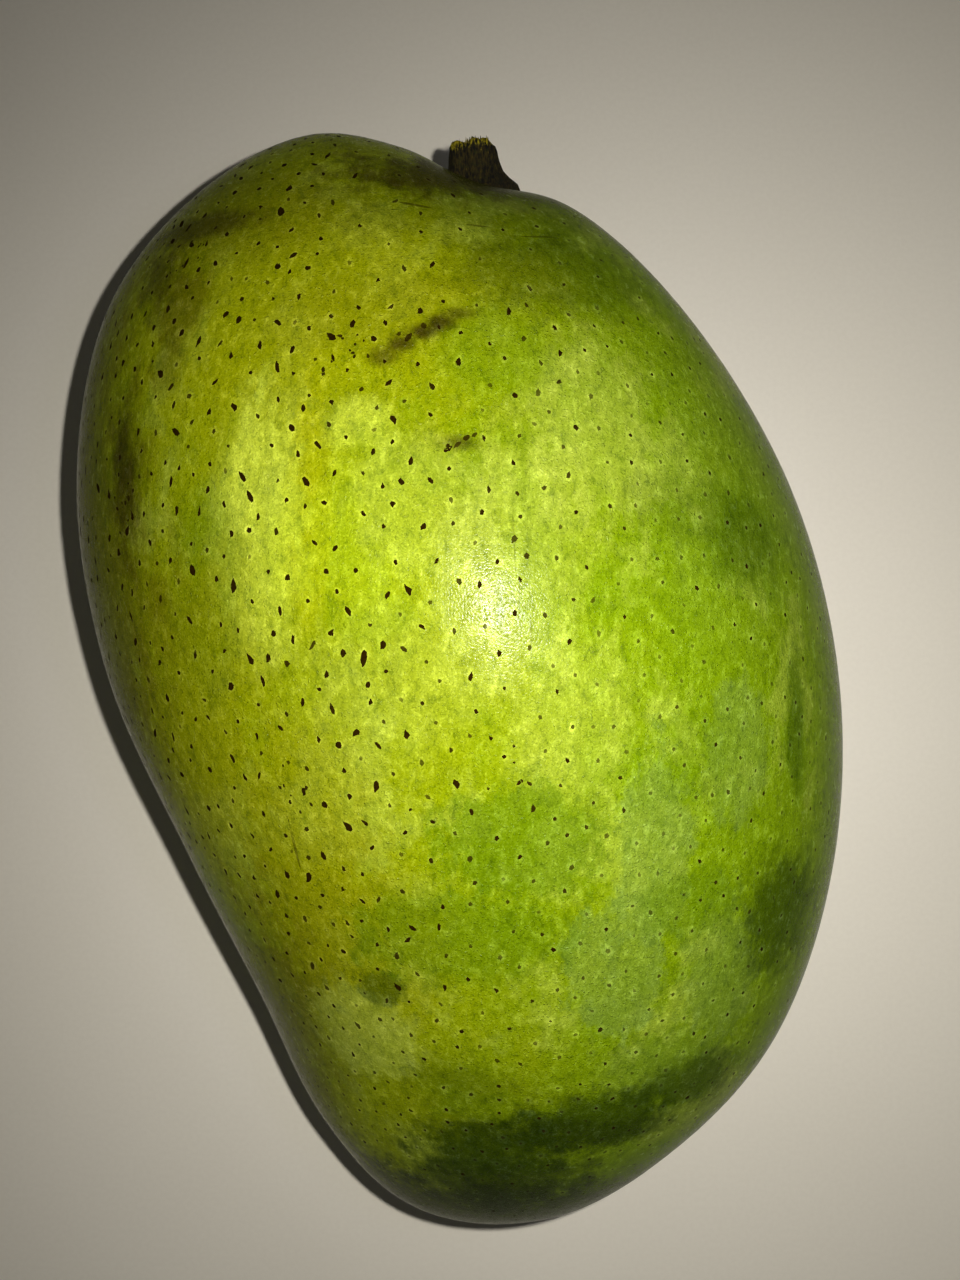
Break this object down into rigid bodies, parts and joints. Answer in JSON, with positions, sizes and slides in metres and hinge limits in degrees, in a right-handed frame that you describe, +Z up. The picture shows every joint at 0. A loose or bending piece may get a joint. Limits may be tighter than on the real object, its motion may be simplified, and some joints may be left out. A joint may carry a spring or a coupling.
{
  "type": "mango",
  "caption": "Whole green mango lying on its flat flank, with a full belly, a rounded apex and the torn stub of its stem in a shallow hollow; a fruit to display, sort, peel or eat.",
  "frame": {"origin": "on the surface it rests on, under the middle of its bounding box", "axes": "+Y along the length, towards the stem end; +X towards the straighter back; +Z up, through the thickness, out of the upper flank"},
  "size_m": [0.0856, 0.1218, 0.074],
  "materials": {
    "skin": "smooth waxy green skin with a soft shine, dark pores and a pale bloom",
    "bark": "rough dark brown bark, torn and fibrous at the end"
  },
  "bodies": {
    "root": {"fruit": "skin", "stem": "bark"}
  },
  "joints": []
}
